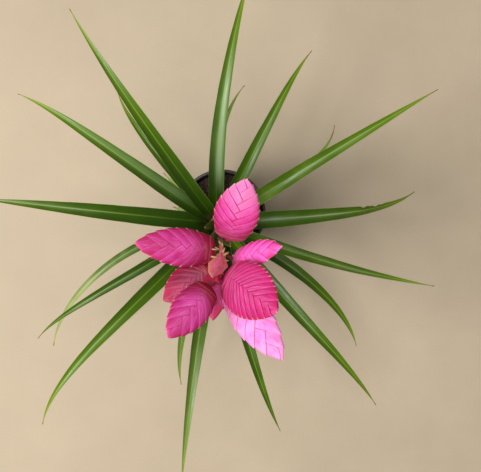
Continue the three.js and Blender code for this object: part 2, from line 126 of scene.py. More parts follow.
# Flower stalk: the points that it passes through, and its bracts. All values of a bract are the
# part's own but blush, its colour, from green at 0 through coral at 1 to crimson above.
STALK_POINTS = [
    (-4, -12, 131.8), (-3, -15, 190), (1, -20, 250), (5, -27, 300), (5, -42, 330), (2, -58, 348)]
STALK_RADIUS, STALK_END_RADIUS, STALK_ROWS, STALK_SIDES = 3.2, 1.8, 90, 24
STALK_STATIONS = 1000
# A ring where a bract is borne: how far it stands out, and its half width as a share of the stalk
NODE_RISE, NODE_SPREAD = 0.4, 0.008
BRACT_SHEET, BRACT_EDGE, BRACT_LEAST_WIDTH, BRACT_STEPS, BRACT_COLUMNS = 0.6, 0.3, 0.8, 60, 21
BRACT_SEAT, BRACT_OPENS, LEAN_OPENS, CURL_FROM, BRACT_WANDER, BRACT_WAVES = 0.8, 2.5, 3, 0.7, 0.07, 5
Bract = namedtuple(
    "Bract", "along heading length width lean cup blush turn foot_width blunt", defaults=(0, 0.75, 2))
STALK_BRACTS = [
    Bract(0.08, 165, 82, 12, 7, 0.24, 0.0),
    Bract(0.22, -20, 76, 12, 7, 0.24, 0.0),
    Bract(0.45, 95, 60, 12, 2, 0.24, 0.05),
    Bract(0.50, -125, 52, 11, 9, 0.24, 0.15),
    Bract(0.56, 152, 42, 11, 15, 0.24, 0.1),
    Bract(0.58, -20, 41, 11, 10, 0.24, 0.1),
    Bract(0.84, 84, 43, 19, 3, -0.14, 0.75, -10, 0.45, 3),
    Bract(0.87, 95, 26, 15, 3, -0.14, 1.2, -18, 0.6, 3),
    Bract(0.93, 102, 21, 18, -5, -0.14, 1.3, -42, 0.7, 5),
]
# Small dry scales at the spikes' feet: place on the stalk, heading, length, width, pitch and curl
SCALE_SHEET, SCALE_EDGE, SCALE_LEAST_WIDTH, SCALE_CHANNEL = 0.4, 0.25, 0.5, 0.3
SCALE_STEPS, SCALE_COLUMNS = 30, 9
Scale = namedtuple("Scale", "along heading length width pitch curl")
DRY_SCALES = [
    Scale(0.79, 178, 14, 1.8, 66, 150),
    Scale(0.80, 150, 10, 1.5, 74, 90),
    Scale(0.83, 62, 9, 1.8, 64, 120),
    Scale(0.76, 118, 8, 1.8, 50, 130),
    Scale(0.78, 84, 7, 1.6, 50, 120),
    Scale(0.86, 170, 16, 2.2, 58, 190),
    Scale(0.89, 205, 13, 2.0, 66, 210),
    Scale(0.84, 24, 13, 2.2, 66, 200),
    Scale(0.87, -8, 11, 1.8, 60, 170),
]


# Flower spikes, the lowest first. Of each, along to bend are the part's own values, tone is
# how light its pink is from -1 to 1, partly its own colour and partly painted shade on the
# spikes that lie in shade, warmth how red-brown its foot is, the darkness there partly painted
# shade, and pale how far its upper bracts pale to lilac.
class Spike(namedtuple(
        "Spike", "along base tip width bracts roll bend tone warmth pale", defaults=(0,))):
    @property
    def length(self):
        return math.dist(self.base, self.tip)


SPIKES = [
    Spike(0.70, (12, -22, 303), (30, 37, 360), 41, 15, 0, 3, 0.15, 0.5, 0.4),
    Spike(0.74, (0, -31, 308), (-75, -24, 336), 36, 14, 15, 4, 0.12, 0.8),
    Spike(0.80, (16, -40, 316), (62, -26, 359), 28, 11, -40, 3, 0.5, 0.3),
    Spike(0.83, (-6, -47, 308), (-50, -80, 316), 34, 14, 10, 2, -1.1, 1.0),
    Spike(0.86, (2, -55, 321), (-3, -96, 330), 22, 7, 0, 0, -0.3, 1.0),
    Spike(0.90, (10, -51.5, 338), (57, -79, 392), 48, 23, 0, 4, -0.32, 0.2),
    Spike(0.94, (13, -66, 329), (62, -127, 356), 36, 12, 0, 3, 0.95, 0.3),
    Spike(1.00, (-4, -61, 351), (-40, -102, 385), 33, 13, 0, 3, 0.22, 0.9),
]
# The spike's outline, and its lens-shaped body: the crest is half its thickness in the middle.
BLUNT, FULLNESS, BODY_MARGIN = 0.14, 0.72, 1.2
CREST, END_CREST, CREST_WIDTH = 2.4, 1.2, 36
# Tips of the bracts, as shares of the spike's length, and how far each strays and stands out
FIRST_TIP, LAST_TIP, CROWDING, TIP_STRAY, AHEAD, PROUD, SMALL_TIP = 0.15, 0.985, 0.9, 0.5, 1.3, 1.1, 6
# Slant and swell of the free edges, low and high on the spike
LOW_SLANT, HIGH_SLANT, SLANT_GROWTH = 0.2, 1.6, 0.8
LOW_BULGE, HIGH_BULGE, BULGE_STRAY, SHOULDER = -0.08, 0.03, 0.015, 0.55
# How far an edge crosses the spike's middle, and where the foot of its bract is
CROSS, CROSS_GROWTH, WRAP, FOOT_CROSS = 1.2, 0.4, 0.85, 0.6
REACH_BACK, FIRST_START, START_STEP = 16, 3, 0.3
# The fold along the rim, which comes out of it past a share of the bract
INSET, OUT_FROM, LEAST_RIM, FOLD_RADIUS = 0.1, 0.62, 0.9, 1.6
# How a bract rises towards its free edge, dives under the one before it, swells and wavers
LIFT, LIFT_REACH, DIVE, DIVE_MARGIN, PUFF, PUFF_SPAN, WAVER = 0.6, 12, 0.3, 2, 0.1, 10, 0.08
BRACT_THICKNESS, BRACT_ROWS, HIDDEN_ROWS, SHOULDER_ROWS, BRACT_HALF_COLUMNS = 0.3, 40, 13, 14, 12
# The share of a bract that is hidden, and where its fold and its free edge end short of the tip
HIDDEN_RANGE, LAST_ROW, EDGE_END = (0.15, 0.85), 0.985, 0.97
# The core behind the bracts, bare from near its end on as the closed bud
CORE_START, CORE_INSET, CORE_SHARE, BUD_FROM, BUD_OVER = 4, 1.6, 0.7, 0.8, 0.15
CORE_ROWS, CORE_SIDES, CORE_RANK = 60, 32, 0.9
NECK_RADIUS, NECK_SIDES, NECK_SINK, NECK_ROWS = 1.5, 16, 4, 8
# Sheaths round a spike's foot, the outer one first: reach as a share of the spike, lift, rank
SHEATHS = [(0.1, 1.4, 0.0), (0.18, 1.0, 0.03)]
SHEATH_ROWS, SHEATH_SIDES, FOOT_RADIUS = 24, 40, 6
SHEATH_BELLIES, SHEATH_WAVE, SHEATH_WAVES = (-0.5, -3), 0.15, 7
# Each bract draws which veins it gets, by a number up to this.
VEIN_RANGE = 100


# Small maths
def mix(a, b, t):
    return a + (b - a) * t


def clamp01(x):
    return np.clip(x, 0.0, 1.0)


def smooth(x):
    t = clamp01(x)
    return t * t * (3 - 2 * t)


def wander(x, seed):
    """A smooth random line through x, between about -1 and 1, with a bend about every unit."""
    draw = random.Random(seed)
    waves = [(draw.uniform(0.7, 1.3) * pitch, draw.uniform(0, 2 * math.pi), weight)
             for pitch, weight in ((1.3, 0.5), (2.9, 0.3), (6.1, 0.2))]
    return sum(weight * np.sin(pitch * x + phase) for pitch, phase, weight in waves)


def wavering(width, amount, x, seeds, number):
    """A blade's half widths to the left and the right, each with its own wandering line."""
    return [0.5 * width * (1 + amount * wander(x, seed + number)) for seed in seeds]


def around(sides):
    """Headings of the points of a ring, in radians."""
    return np.arange(sides) * 2 * np.pi / sides


def compass(degrees):
    """The level direction at this heading."""
    return np.array([math.cos(math.radians(degrees)), math.sin(math.radians(degrees)), 0])


def unit(v):
    return v / np.linalg.norm(v, axis=-1, keepdims=True)


def turned(points, heading, x, y):
    """Points of a piece in its own frame, turned to its heading and set at x, y."""
    ahead = compass(heading)
    left = (-ahead[1], ahead[0], 0)
    return points @ np.array([ahead, left, (0, 0, 1)]) + [x, y, 0]


def read_line(places, known, points):
    """Points at these places along a line whose points are given at the known places."""
    return np.stack([np.interp(places, known, points[:, i]) for i in range(points.shape[1])], -1)


# Meshes. A shell is (points, faces, values), and values are numbers that its material reads
# at each point, under their names.
def loft_faces(rows, count):
    """Faces over rows of closed rings of count points each, and over the two end rings."""
    i, j = np.meshgrid(np.arange(rows - 1), np.arange(count), indexing="ij")
    following = (j + 1) % count
    low, high = i * count, (i + 1) * count
    skin = np.stack([low + j, high + j, high + following, low + following], -1).reshape(-1, 4)
    k = np.arange(count // 2 - 1)
    foot = np.stack([k, k + 1, count - 2 - k, count - 1 - k], -1)
    return np.concatenate([skin, foot, ((rows - 1) * count + foot)[:, ::-1]])


def per_point(values, rows, count):
    """Values for every point of rows of rings. Each is given as one number, or as one for each ring."""
    return {
        key: np.broadcast_to(np.reshape(value, (-1, 1)), (rows, count)).ravel()
        for key, value in values.items()}


def join(shells):
    """Several shells as one."""
    starts = np.cumsum([0] + [len(points) for points, _, _ in shells[:-1]])
    points = np.concatenate([s[0] for s in shells])
    faces = np.concatenate([s[1] + start for s, start in zip(shells, starts)])
    values = {key: np.concatenate([s[2][key] for s in shells]) for key in shells[0][2]}
    return points, faces, values


def add_object(name, data):
    made = bpy.data.objects.new(name, data)
    bpy.context.scene.collection.objects.link(made)
    return made


def add_mesh(name, points, faces):
    mesh = bpy.data.meshes.new(name)
    mesh.from_pydata(np.multiply(points, MM).tolist(), [], np.array(faces).tolist())
    return add_object(name, mesh)


def add_piece(name, shell, material, node):
    """A piece with this material, which stands for this node, whose own part is hidden."""
    points, faces, values = shell
    piece = add_mesh(name, points, faces)
    mesh = piece.data
    for key, numbers in values.items():
        mesh.attributes.new(key, "FLOAT", "POINT").data.foreach_set("value", numbers.astype(np.float32))
    mesh.polygons.foreach_set("use_smooth", [True] * len(mesh.polygons))
    mesh.set_sharp_from_angle(angle=SHARP_ANGLE)
    mesh.materials.append(material)
    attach(piece, "root")
    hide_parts(node)
    return piece


# Materials
def srgb(red, green, blue):
    """A colour as a screen shows it, from 0 to 255, in the linear numbers that a shader takes."""
    shown = [v / 255 for v in (red, green, blue)]
    linear = [v / 12.92 if v <= 0.04 else ((v + 0.055) / 1.055) ** 2.4 for v in shown]
    return (*linear, 1.0)


def feed(socket, value):
    if isinstance(value, Value):
        value.node.id_data.links.new(value.node.outputs[value.output], socket)
    else:
        socket.default_value = value


def add_node(tree, kind, *given, **settings):
    """A shader node with these settings, its inputs fed in turn with what is given."""
    made = tree.nodes.new("ShaderNode" + kind)
    for key, value in settings.items():
        setattr(made, key, value)
    for socket, value in zip(made.inputs, given):
        feed(socket, value)
    return made


class Value:
    """A number or colour that a material works out at each point, from a node's output."""

    def __init__(self, node, output=0):
        self.node = node
        self.output = output

    def math(self, operation, *given):
        return Value(add_node(self.node.id_data, "Math", self, *given, operation=operation))

    def __add__(self, other):
        return self.math("ADD", other)

    def __sub__(self, other):
        return self.math("SUBTRACT", other)

    def __mul__(self, other):
        return self.math("MULTIPLY", other)

    def __abs__(self):
        return self.math("ABSOLUTE")

    def at_least(self, other):
        return self.math("MAXIMUM", other)

    def ease(self, low, high, to_low=0.0, to_high=1.0):
        """Eased from to_low, where this value is low, to to_high, where it is high."""
        given = (self, low, high, to_low, to_high)
        return Value(add_node(self.node.id_data, "MapRange", *given, interpolation_type="SMOOTHSTEP"))


class Look:
    """A material in the making. colour is its colour so far."""

    def __init__(self, name, **sockets):
        self.material = bpy.data.materials.new(name)
        self.material.use_nodes = True
        self.tree = self.material.node_tree
        self.shader = self.tree.nodes["Principled BSDF"]
        self.colour = None
        for key, value in sockets.items():
            self.shader.inputs[key.replace("_", " ")].default_value = value

    def read(self, name):
        """A value that the mesh holds at each of its points."""
        return Value(add_node(self.tree, "Attribute", attribute_name=name), "Fac")

    def place(self):
        """The point's own coordinates, in metres."""
        return Value(add_node(self.tree, "TexCoord"), "Object")

    def noise(self, vector, scale, detail, rough=0.5):
        made = add_node(self.tree, "TexNoise", vector)
        for key, value in (("Scale", scale), ("Detail", detail), ("Roughness", rough)):
            made.inputs[key].default_value = value
        return Value(made, "Fac")

    def streaks(self, across, along, seed, scale, detail, rough=0.5):
        """Noise drawn out along the piece: so many times as fine across it and along it."""
        x, y = self.read("across") * across, self.read("along") * along
        return self.noise(Value(add_node(self.tree, "CombineXYZ", x, y, seed)), scale, detail, rough)

    def blend(self, share, a, b):
        """Colour a, with this share of colour b."""
        made = add_node(self.tree, "Mix", share, data_type="RGBA")
        feed(made.inputs[6], a)
        feed(made.inputs[7], b)
        return Value(made, 2)

    def tint(self, share, *shown):
        """Lays this share of a colour, given as a screen shows it, over the colour so far."""
        self.colour = self.blend(share, self.colour, srgb(*shown))

    def ramp(self, value, *stops):
        """Starts the colour from the value, by stops of a place and a colour as a screen shows it."""
        made = add_node(self.tree, "ValToRGB", value)
        elements = made.color_ramp.elements
        while len(elements) < len(stops):
            elements.new(0.5)
        for element, (place, *shown) in zip(elements, stops):
            element.position = place
            element.color = srgb(*shown)
        self.colour = Value(made)

    def finish(self, roughness, height, relief):
        """Feeds the shader. relief is the height's depth in millimetres."""
        bump = add_node(self.tree, "Bump")
        bump.inputs["Distance"].default_value = relief * MM
        feed(bump.inputs["Height"], height)
        fed = (("Base Color", self.colour), ("Roughness", roughness), ("Normal", Value(bump)))
        for key, value in fed:
            feed(self.shader.inputs[key], value)
        return self.material


def leaf_look():
    """Glossy green blades: lengthwise lines, darkest near the crown partly from painted shade, lighter
    towards the tip, with a dry tip, and on some a painted sheen along the channel.
    """
    look = Look("leaf_green", Specular_IOR_Level=0.3)
    along, across, tone = look.read("along"), look.read("across"), look.read("tone")
    lines = look.streaks(9.0, 2.0, look.read("seed"), 2.2, 4.0, 0.65)
    patches = look.noise(look.place(), 45.0, 3.0)
    # The colour runs from a pale foot through the darkest green just past it, partly the leaf's own
    # colour and partly painted shade near the crown, to lighter yellow-green towards the tip.
    look.ramp(
        along,
        (0.0, 112, 120, 50), (0.07, 44, 70, 4), (0.2, 44, 72, 1),
        (0.5, 62, 92, 2), (0.8, 84, 114, 6), (1.0, 126, 142, 32))
    light = tone * 0.5 + patches * 0.5 + lines * 0.35
    look.tint(light.ease(0.45, 1.1, 0.0, 0.6), 120, 146, 40)
    look.tint(light.ease(0.5, 0.0, 0.0, 0.6), 30, 56, 2)
    look.tint(lines.ease(0.54, 0.7, 0.0, 0.35), 28, 52, 2)
    # Painted sheen: a pale grey-green highlight along the middle of the channel, on the leaves that are
    # given it.
    sheen_span = along.ease(0.12, 0.3) * along.ease(0.75, 0.5)
    from_middle = abs(across + lines * 0.5)
    sheen_share = sheen_span * from_middle.ease(0.75, 0.05, 0.1, 1.0) * look.read("bloom")
    look.tint(sheen_share, 168, 192, 150)
    side = abs(across)
    # Painted highlight: a lighter yellow-green line down the middle of the channel, stronger towards the
    # tip.
    look.tint(side.ease(0.14, 0.02) * along.ease(0.2, 0.6, 0.1, 0.45), 146, 176, 66)
    look.tint(side.ease(0.93, 1.0, 0.0, 0.45), 142, 158, 84)
    look.tint(look.read("under") * 0.25, 120, 142, 96)
    outer = (along + patches * 0.3).ease(0.45, 1.0)
    look.tint(look.read("fade") * outer, 168, 176, 118)
    dry = (look.read("dry") + (lines - 0.5) * 0.5).ease(0.35, 0.6)
    look.tint(dry, 124, 88, 52)
    roughness = patches.ease(0.3, 0.7, 0.3, 0.42) + dry * 0.35
    return look.finish(roughness, lines + patches * 0.4, 0.07)


def bract_look():
    """Pink folded bracts: veins from foot to tip, a thin deeper line at the free edge that is partly
    painted shadow, a faint painted highlight just inside it, painted shade deepening the rim and
    the foot, a pale dry point, and red-brown sheaths at the spike's foot."""
    look = Look("bract_pink", Subsurface_Weight=0.08, Subsurface_Scale=0.004, Specular_IOR_Level=0.25)
    look.shader.inputs["Subsurface Radius"].default_value = (1.0, 0.25, 0.4)
    along, tone, rank, warmth = (look.read(key) for key in ("along", "tone", "rank", "warmth"))
    veins = look.streaks(7.0, 0.9, look.read("seed"), 2.6, 4.0, 0.6)
    patches = look.noise(look.place(), 90.0, 2.0)
    side = abs(look.read("across"))
    # tone lightens or darkens each spike's pink. On the spikes that lie in shade its darkness is painted
    # shade.
    look.ramp(
        tone * 0.4 + (patches * 0.3 + 0.3),
        (0.0, 112, 6, 42), (0.4, 197, 34, 117), (0.7, 248, 98, 200), (1.0, 255, 190, 238))
    look.tint(veins.ease(0.5, 0.7, 0.0, 0.4), 186, 22, 104)
    pale_veins = veins.ease(0.46, 0.3, 0.0, 0.4) * tone.ease(-1.1, 0.2, 0.1, 1.0)
    look.tint(pale_veins, 255, 160, 226)
    # Deeper crimson towards the fold at the spike's rim: partly the bracts' own colour, partly painted
    # shade where the rim turns away.
    look.tint(side.ease(0.65, 0.05, 0.0, 0.75) * tone.ease(1.1, 0.3, 0.3, 1.0), 164, 14, 62)
    # Darker red-brown low on the spike: partly the lower bracts' own colour, partly painted shade among
    # the crowded feet.
    look.tint(rank.ease(0.6, 0.05, 0.0, 0.88) * warmth.ease(0.0, 1.0, 0.2, 1.0), 126, 10, 30)
    look.tint(rank.ease(0.6, 1.0, 0.0, 0.38) * warmth, 216, 64, 104)
    look.tint(rank.ease(0.5, 0.95) * look.read("pale"), 255, 176, 232)
    # A faint painted highlight just inside the free edge.
    look.tint(side.ease(0.6, 0.86) * side.ease(0.97, 0.9) * 0.08, 252, 180, 220)
    # The thin deeper line at the free edge: partly the bract's own margin, partly painted shadow that the
    # edge casts on the next bract.
    look.tint(side.ease(0.945, 0.985, 0.0, 0.7), 136, 14, 72)
    sheath = rank.ease(0.08, 0.05)
    look.tint(sheath * warmth, 126, 14, 34)
    look.tint(sheath * side.ease(0.8, 0.96) * 0.15, 236, 140, 150)
    look.tint(rank.ease(-0.05, -0.3), 104, 32, 28)
    tip = (along + patches * 0.04).ease(0.955, 1.02)
    look.tint(tip * 0.6, 244, 178, 166)
    roughness = patches.ease(0.3, 0.7, 0.34, 0.46)
    return look.finish(roughness, veins + patches * 0.3, 0.12)


def stalk_look():
    """Green, coral and crimson stalk bracts with dry edges, and the olive stalk itself."""
    look = Look("stalk_green")
    along, across = look.read("along"), look.read("across")
    side = abs(across)
    lines = look.streaks(8.0, 2.0, look.read("seed"), 2.4, 4.0, 0.6)
    patches = look.noise(look.place(), 160.0, 3.0)
    look.colour = look.blend(lines.ease(0.4, 0.7, 0.0, 0.6), srgb(92, 110, 34), srgb(50, 70, 20))
    blush = look.read("blush") + (patches - 0.5) * 0.5
    coral = look.blend(lines.ease(0.38, 0.6), srgb(206, 84, 80), srgb(230, 120, 140))
    coral = look.blend(side.ease(0.5, 0.0, 0.0, 0.5), coral, srgb(226, 108, 162))
    look.colour = look.blend(blush.ease(0.1, 0.8), look.colour, coral)
    look.tint(patches.ease(0.55, 0.75, 0.0, 0.3), 120, 62, 40)
    look.tint(blush.ease(0.9, 1.1), 156, 12, 58)
    margin = side + across * -0.08
    edge = (margin + patches * 0.35).ease(0.95, 1.2)
    end = (along + lines * 0.15).ease(0.96, 1.06)
    dry = (edge * 0.7).at_least(end) * blush.ease(1.3, 1.0)
    look.tint(dry, 186, 146, 106)
    return look.finish(lines.ease(0.3, 0.7, 0.42, 0.58), lines, 0.25)


def crown_look():
    """Old leaf bases: dull olive and straw, with dark fibrous lines."""
    look = Look("crown_straw")
    lines = look.streaks(60.0, 3.0, 0.0, 1.0, 4.0)
    patches = look.noise(look.place(), 160.0, 4.0)
    look.ramp(patches, (0.3, 70, 58, 30), (0.5, 112, 100, 56), (0.7, 146, 130, 82))
    look.tint(lines.ease(0.5, 0.7, 0.0, 0.6), 56, 40, 22)
    return look.finish(patches.ease(0.3, 0.7, 0.6, 0.85), lines, 0.4)


def mix_look():
    """Bark: dark brown with purple and red-brown chips, and fine crumbs between them."""
    look = Look("potting_mix_bark")
    grain = look.noise(look.place(), 900.0, 5.0, 0.65)
    crumbs = look.noise(look.place(), 260.0, 4.0, 0.6)
    tone = look.read("tone")
    look.ramp(
        tone * 0.7 + crumbs * 0.45,
        (0.15, 26, 16, 12), (0.45, 56, 34, 26), (0.65, 74, 42, 44),
        (0.85, 104, 68, 46), (1.0, 146, 110, 76))
    look.tint(grain.ease(0.45, 0.7, 0.0, 0.5), 22, 14, 12)
    return look.finish(grain.ease(0.3, 0.7, 0.6, 0.9), grain + crumbs, 0.8)


def pot_look():
    """Dark moulded plastic: fine grain, scuffs, and dust that gathers at the rim and the foot."""
    look = Look("pot_plastic")
    place = look.place()
    grain = look.noise(place, 1800.0, 3.0)
    cloud = look.noise(place, 38.0, 4.0, 0.6)
    scratches = look.streaks(3.0, 260.0, 0.0, 2.0, 5.0, 0.7)
    look.ramp(cloud, (0.35, 30, 24, 22), (0.65, 46, 38, 34))
    look.tint(scratches.ease(0.62, 0.75, 0.0, 0.5), 82, 72, 64)
    dust = look.read("dust") * cloud.ease(0.35, 0.7)
    look.tint(dust, 124, 104, 82)
    roughness = cloud.ease(0.3, 0.7, 0.38, 0.52) + dust * 0.3
    return look.finish(roughness, grain + scratches * 0.6, 0.06)


def floor_look():
    """A plain pale floor with the faintest mottling."""
    look = Look("floor_pale")
    cloud = look.noise(look.place(), 5.0, 5.0, 0.6)
    grit = look.noise(look.place(), 400.0, 2.0)
    look.ramp(cloud, (0.3, 175, 159, 135), (0.7, 187, 171, 147))
    return look.finish(cloud.ease(0.3, 0.7, 0.7, 0.85), grit, 0.15)


# Blades: leaves and stalk bracts
def blade_shell(at, side, up, left, right, depth, thickness, edge, columns, **values):
    """A channelled blade, of rings over its upper face from right to left, then back below it.
    left and right are its half widths, and values hold one number, or one for each ring."""
    c = np.sin(0.5 * np.pi * np.linspace(-1, 1, columns))
    c = np.concatenate([c, c[::-1]])
    lift = np.repeat([0.5, -0.5], columns)
    half = np.where(c > 0, left[:, None], right[:, None])
    across = half * c
    above = depth[:, None] * c**2 + lift * mix(thickness, edge, c**2)
    points = at[:, None] + side[:, None] * across[..., None] + up[:, None] * above[..., None]
    rows = len(at)
    spread = per_point(values, rows, 2 * columns)
    spread["across"] = np.tile(c, rows)
    spread["under"] = np.tile((lift < 0) * 1.0, rows)
    return points.reshape(-1, 3), loft_faces(rows, 2 * columns), spread


def leaf_ways(leaf, share):
    """The directions along a leaf, across it and up from it."""
    free = smooth((share * leaf.length - SHEATH_START) / (SHEATH_END - SHEATH_START))
    pitch = np.radians(mix(SHEATH_PITCH, mix(leaf.rise, leaf.fall, share), free))
    yaw = np.radians(leaf.turn * share**leaf.bow)
    along = np.stack([np.cos(pitch) * np.cos(yaw), np.cos(pitch) * np.sin(yaw), np.sin(pitch)], -1)
    side = np.stack([-np.sin(yaw), np.cos(yaw), 0 * yaw], -1)
    return along, side, np.cross(along, side)


def crown_radius_at(z):
    return mix(CROWN_BASE_RADIUS, CROWN_TOP_RADIUS, clamp01((z - CROWN_BASE) / (CROWN_TOP - CROWN_BASE)))


def add_leaf(rank, leaf, material):
    number = rank + 1
    height = FIRST_HEIGHT - rank * HEIGHT_STEP
    radius = crown_radius_at(height)
    sheath = min(SHEATH_FLARE * leaf.width, SHEATH_WRAP * radius)
    stand = GAP + 0.5 * LEAF_THICKNESS + SHEATH_COLUMN**2 * sheath**2 / (8 * radius)
    coarse = np.linspace(0, 1, LEAF_STEPS + 1)
    steps = leaf_ways(leaf, coarse)[0][:-1] * leaf.length / LEAF_STEPS
    path = np.concatenate([[[0, 0, 0]], np.cumsum(steps, axis=0)]) + [radius + stand, 0, height]
    share = np.linspace(0, 1, LEAF_ROWS)
    at = read_line(share, coarse, path)
    _, side, up = leaf_ways(leaf, share)
    blade = leaf.width * (1 - clamp01((share - WIDEST) / (1 - WIDEST)) ** TAPER)
    width = np.maximum(mix(sheath, blade, smooth(share * leaf.length / SHEATH_END)), TIP_WIDTH)
    wrap = width**2 / (8 * np.hypot(at[:, 0], at[:, 1]))
    depth = mix(wrap, CHANNEL * width, smooth(share * leaf.length / SHEATH_END - CHANNEL_FROM))
    loose = smooth((share - LOOSE_FROM) / LOOSE_OVER)
    roll = (LEAF_ROLL * loose * wander(ROLL_WAVES * share, number))[:, None]
    side, up = np.cos(roll) * side + np.sin(roll) * up, np.cos(roll) * up - np.sin(roll) * side
    left, right = wavering(width, EDGE_WANDER * loose, EDGE_WAVES * share, LEAF_SEEDS, number)
    dry = smooth((share - 1 + 2 * leaf.dry) / (2 * leaf.dry))
    if number == BITTEN_LEAF:
        for place, bite, spread in BITES:
            gone = np.exp(-((share - place) / spread) ** 2)
            left = left * (1 - bite * gone)
            dry = np.maximum(dry, 0.5 * gone)
    points, faces, values = blade_shell(
        at, side, up, left, right, depth, LEAF_THICKNESS, LEAF_EDGE, LEAF_COLUMNS,
        along=share, dry=dry, seed=7.3 * number, tone=leaf.tone, fade=leaf.fade, bloom=leaf.bloom)
    shell = (turned(points, leaf.heading, *CROWN_AT), faces, values)
    add_piece(f"leaf_blade_{number:02d}", shell, material, f"leaf_{number:02d}")


# Stalk
def stalk_curve():
    """Points at even stations on the part's centripetal curve, and its directions there."""
    p = [np.array(q, float) for q in STALK_POINTS]
    p = [2 * p[0] - p[1], *p, 2 * p[-1] - p[-2]]
    points = []
    for a, b, c, d in zip(p, p[1:], p[2:], p[3:]):
        ta, tb, tc = (math.sqrt(np.linalg.norm(v - u)) for u, v in ((a, b), (b, c), (c, d)))
        leave = ((b - a) / ta - (c - a) / (ta + tb) + (c - b) / tb) * tb
        arrive = ((c - b) / tb - (d - b) / (tb + tc) + (d - c) / tc) * tb
        t = np.linspace(0, 1, 200, endpoint=False)[:, None]
        points.append(b + leave * t + (3 * (c - b) - 2 * leave - arrive) * t**2
                      + (2 * (b - c) + leave + arrive) * t**3)
    points = np.concatenate([*points, [p[-2]]])
    run = np.concatenate([[0], np.cumsum(np.linalg.norm(np.diff(points, axis=0), axis=1))])
    even = np.linspace(0, run[-1], STALK_STATIONS + 1)
    at = read_line(even, run, points)
    return at, unit(np.gradient(at, axis=0))


STALK_AT, STALK_AHEAD = stalk_curve()


def stalk_frame(along):
    """The stalk's point, direction, side and up at shares of its length, and its radius there."""
    along = np.atleast_1d(along)
    place = clamp01(along) * STALK_STATIONS
    known = np.arange(STALK_STATIONS + 1)
    at, ahead = read_line(place, known, STALK_AT), unit(read_line(place, known, STALK_AHEAD))
    side = unit(np.array([1.0, 0, 0]) - ahead * ahead[:, :1])
    return at, ahead, side, np.cross(ahead, side), mix(STALK_RADIUS, STALK_END_RADIUS, along)


def tube_shell(at, side, up, radius, sides, **values):
    """A round stem along its frames. values hold one number, or one for each ring."""
    turn = np.pi - (np.arange(sides) + 0.5) * 2 * np.pi / sides
    ring = side[:, None] * np.cos(turn)[:, None] + up[:, None] * np.sin(turn)[:, None]
    points = at[:, None] + ring * np.reshape(radius, (-1, 1, 1))
    rows = len(at)
    spread = per_point(values, rows, sides)
    spread["across"] = np.tile(np.cos(turn) * 0.75, rows)
    return points.reshape(-1, 3), loft_faces(rows, sides), spread


def stalk_bract_shell(bract, number):
    at, ahead, _, _, radius = (v[0] for v in stalk_frame(bract.along))
    outward = compass(bract.heading)
    outward = unit(outward - ahead * outward.dot(ahead))
    turn = math.radians(bract.turn)
    ahead = math.cos(turn) * ahead + math.sin(turn) * np.cross(outward, ahead)
    share = np.linspace(0, 1, BRACT_STEPS)
    lean = np.radians(bract.lean * np.minimum(1, LEAN_OPENS * share))[:, None]
    along = np.cos(lean) * ahead + np.sin(lean) * outward
    side = np.broadcast_to(-np.cross(ahead, outward), along.shape)
    full = mix(bract.foot_width, 1, smooth(BRACT_OPENS * share)) * (1 - share**bract.blunt)
    width = np.maximum(bract.width * full, BRACT_LEAST_WIDTH)
    path = at + BRACT_SEAT * radius * outward + along * (share * bract.length)[:, None]
    curl = smooth((share - CURL_FROM) / (1 - CURL_FROM)) * wander(2 * share, number)
    path = path + side * curl[:, None]
    left, right = wavering(width, BRACT_WANDER, BRACT_WAVES * share, BRACT_SEEDS, number)
    return blade_shell(
        path, side, np.cross(along, side), left, right, bract.cup * width,
        BRACT_SHEET, BRACT_EDGE, BRACT_COLUMNS, along=share, seed=3.1 * number, blush=bract.blush)


def dry_scale_shell(scale, number):
    """A small dry scale that curls over from the stalk."""
    at = stalk_frame(scale.along)[0][0]
    out = compass(scale.heading)
    share = np.linspace(0, 1, SCALE_STEPS)
    pitch = np.radians(scale.pitch - scale.curl * share**1.5)[:, None]
    along = np.cos(pitch) * out + np.sin(pitch) * np.array([0, 0, 1.0])
    side = np.tile(np.cross([0, 0, 1.0], out), (SCALE_STEPS, 1))
    path = at + np.cumsum(along, axis=0) * scale.length / SCALE_STEPS
    width = np.maximum(scale.width * np.sin(np.pi * mix(0.25, 0.97, share)), SCALE_LEAST_WIDTH)
    return blade_shell(
        path, side, np.cross(along, side), 0.5 * width, 0.5 * width, SCALE_CHANNEL * width,
        SCALE_SHEET, SCALE_EDGE, SCALE_COLUMNS, along=mix(0.84, 1, share), seed=5.7 * number, blush=0.3)


def add_stalk(material):
    along = np.linspace(0, 1, STALK_ROWS)
    at, _, side, up, radius = stalk_frame(along)
    nodes = sum(np.exp(-((along - b.along) / NODE_SPREAD) ** 2) for b in STALK_BRACTS)
    blush = 0.5 * along + 0.6 * smooth((along - 0.75) / 0.1)
    stem = tube_shell(
        at, side, up, radius + NODE_RISE * nodes, STALK_SIDES, along=0.6 * along, seed=1.0, blush=blush)
    bracts = [stalk_bract_shell(bract, i + 1) for i, bract in enumerate(STALK_BRACTS)]
    scales = [dry_scale_shell(scale, i + 1) for i, scale in enumerate(DRY_SCALES)]
    add_piece("stalk_with_bracts", join([stem, *bracts, *scales]), material, "flower_stalk")


# Spikes
def spike_half_width(spike, x):
    share = mix(BLUNT, 1, clamp01(x / spike.length))
    return 0.5 * spike.width * np.sin(np.pi * share) ** FULLNESS


def bent_line(corners, rows):
    """A line through the corners, each reached at its row, with the corners rounded off."""
    line = read_line(np.arange(rows[-1] + 1), rows, np.array(corners))
    for _ in range(2):
        line[1:-1] = (line[:-2] + 2 * line[1:-1] + line[2:]) / 4
    return line


def crest_at(spike, share):
    return mix(CREST, END_CREST, clamp01(share)) * min(1, spike.width / CREST_WIDTH)


